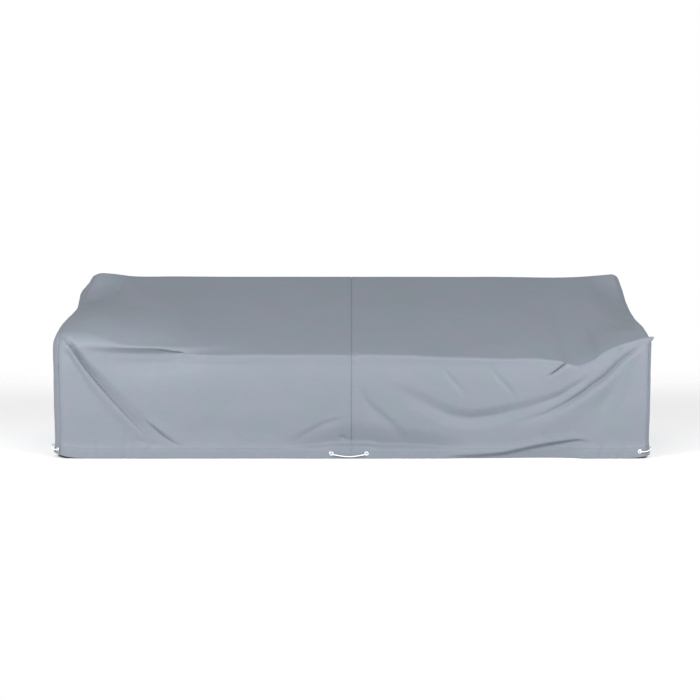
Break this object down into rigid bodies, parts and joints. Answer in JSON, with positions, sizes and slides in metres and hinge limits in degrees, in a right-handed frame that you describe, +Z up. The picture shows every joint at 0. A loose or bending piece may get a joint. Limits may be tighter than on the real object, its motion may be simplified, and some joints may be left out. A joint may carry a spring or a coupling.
{
  "type": "outdoor sofa cover",
  "caption": "Fitted weather cover for a long outdoor sofa, with a sloping top, box ends, a middle seam and a drawcord that shows between hem eyelets.",
  "frame": {"origin": "centre of the cover's footprint at the level of the hem", "axes": "+X along the length towards the end with the dog-ear, +Y from the front to the high back, +Z up"},
  "size_m": [2.4996, 0.9217, 0.7238],
  "materials": {
    "coated_cloth": "coated polyester, matt with a faint sheen",
    "eyelet_metal": "pressed, satin",
    "white_cord": "round braided cord"
  },
  "bodies": {
    "root": {"cloth_left": "coated_cloth", "cloth_right": "coated_cloth", "end_left": "coated_cloth", "end_right": "coated_cloth", "eyelet_front_left": "eyelet_metal", "eyelet_front_right": "eyelet_metal", "eyelet_corner_left_front": "eyelet_metal", "eyelet_corner_left_side": "eyelet_metal", "eyelet_corner_right_front": "eyelet_metal", "eyelet_corner_right_side": "eyelet_metal", "cord_front": "white_cord", "cord_corner_left": "white_cord", "cord_corner_right": "white_cord"}
  },
  "joints": []
}
